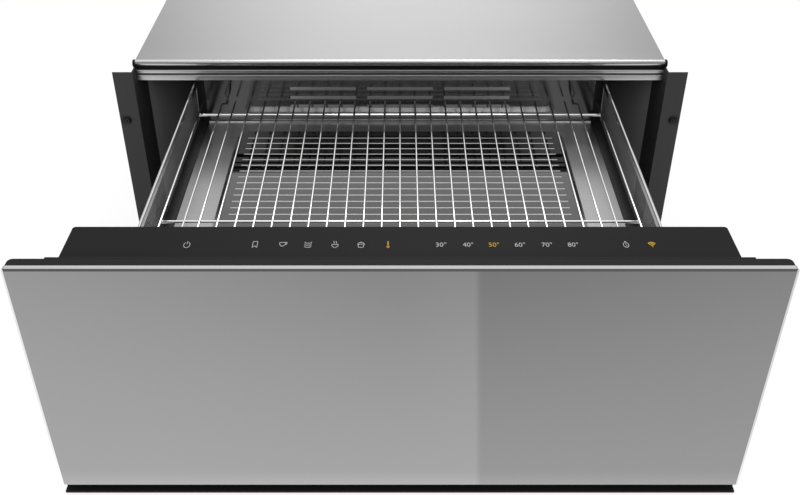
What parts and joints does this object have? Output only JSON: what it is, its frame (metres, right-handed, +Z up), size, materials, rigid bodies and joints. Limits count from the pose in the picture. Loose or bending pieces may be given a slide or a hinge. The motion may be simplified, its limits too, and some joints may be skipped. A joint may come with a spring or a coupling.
{
  "type": "built in warming drawer",
  "caption": "Built-in warming drawer standing open: steel housing with flanges, mirrored glass front, touch control strip, shallow heated steel tray with glass plate and wire rack.",
  "frame": {"origin": "middle of the underside of the front bearer, on the floor plane of the niche", "axes": "+X to the right for someone facing the front, +Y back into the cabinet, +Z up"},
  "size_m": [0.752, 0.9808, 0.319],
  "materials": {
    "front_mirror_glass": "dark grey mirrored glass, polished bevel",
    "control_glass": "smoked grey glass, satin",
    "base_glass": "black polished glass with printed lines",
    "side_glass": "clear toughened glass",
    "black_plastic": "fine satin",
    "housing_grey": "dark grey satin paint",
    "screw_black": "blackened",
    "cover_steel": "fine satin sheet",
    "fascia_steel": "bright rolled trim",
    "tray_steel": "satin",
    "rail_chrome": "polished",
    "rack_chrome": "polished wire",
    "zinc_sheet": "galvanised sheet",
    "black_rubber": "matt",
    "board_green": "lacquered circuit board",
    "heater_silicone": "matt silicone",
    "heater_steel": "drawn tube",
    "insulation_wool": "fibrous pad",
    "plunger_nylon": "natural"
  },
  "bodies": {
    "housing": {"top_cover": "cover_steel", "base_plate": "zinc_sheet", "rear_panel": "zinc_sheet", "front_cross_member": "fascia_steel", "front_seal": "black_rubber", "front_bearer": "black_rubber", "rear_bearer": "black_rubber", "electronics_box": "black_plastic", "mains_inlet": "black_plastic", "left_side_panel": "housing_grey", "right_side_panel": "housing_grey", "left_hem_cap": "black_rubber", "right_hem_cap": "black_rubber", "left_flange": "housing_grey", "right_flange": "housing_grey", "left_flange_screw_upper": "screw_black", "right_flange_screw_upper": "screw_black", "left_flange_screw_lower": "screw_black", "right_flange_screw_lower": "screw_black", "left_slide_carrier": "zinc_sheet", "right_slide_carrier": "zinc_sheet", "left_outer_slide": "zinc_sheet", "right_outer_slide": "zinc_sheet", "left_opener_body": "black_plastic", "right_opener_body": "black_plastic"},
    "drawer": {"front_glass": "front_mirror_glass", "door_frame": "black_plastic", "door_inner_panel": "zinc_sheet", "door_ledge": "black_plastic", "control_glass": "control_glass", "control_housing": "black_plastic", "control_board": "board_green", "tray": "tray_steel", "glass_gasket": "black_rubber", "back_wall": "tray_steel", "plate_bezel": "tray_steel", "base_glass": "base_glass", "heating_mat": "heater_silicone", "insulation_pad": "insulation_wool", "chassis_bottom": "zinc_sheet", "chassis_rear": "zinc_sheet", "fan_scroll": "zinc_sheet", "fan_motor": "black_plastic", "heater_rod": "heater_steel", "left_inner_slide": "zinc_sheet", "right_inner_slide": "zinc_sheet", "left_door_buffer": "black_rubber", "right_door_buffer": "black_rubber", "left_side_glass": "side_glass", "right_side_glass": "side_glass", "left_side_rail": "rail_chrome", "right_side_rail": "rail_chrome", "left_chassis_side": "zinc_sheet", "right_chassis_side": "zinc_sheet"},
    "left_middle": {"left_middle_slide": "zinc_sheet"},
    "right_middle": {"right_middle_slide": "zinc_sheet"},
    "left_plunger": {"left_opener_plunger": "plunger_nylon"},
    "right_plunger": {"right_opener_plunger": "plunger_nylon"},
    "rotor": {"fan_rotor": "black_plastic"},
    "rack": {"wire_rack": "rack_chrome"}
  },
  "joints": [
    {"name": "drawer_slide", "type": "slide", "parent": "housing", "child": "drawer", "axis": [0, 1, 0], "range_m": [0, 0.41]},
    {"name": "left_middle_slide_run", "type": "slide", "parent": "housing", "child": "left_middle", "axis": [0, 1, 0], "range_m": [0, 0.205]},
    {"name": "right_middle_slide_run", "type": "slide", "parent": "housing", "child": "right_middle", "axis": [0, 1, 0], "range_m": [0, 0.205]},
    {"name": "left_plunger_push", "type": "slide", "parent": "housing", "child": "left_plunger", "axis": [0, 1, 0], "range_m": [0, 0.004], "stiffness_N_per_m": 400, "springref_m": -0.001},
    {"name": "right_plunger_push", "type": "slide", "parent": "housing", "child": "right_plunger", "axis": [0, 1, 0], "range_m": [0, 0.004], "stiffness_N_per_m": 400, "springref_m": -0.001},
    {"name": "rack_lift", "type": "slide", "parent": "drawer", "child": "rack", "axis": [0, 0, 1], "range_m": [0, 0.015]},
    {"name": "rotor_spin", "type": "hinge", "parent": "drawer", "child": "rotor", "pos_m": [0, 0.0345, 0.259], "axis": [1, 0, 0], "continuous": true}
  ],
  "couplings": [
    {"joint": "left_middle_slide_run", "follows": "drawer_slide", "ratio": 0.5},
    {"joint": "right_middle_slide_run", "follows": "drawer_slide", "ratio": 0.5}
  ]
}
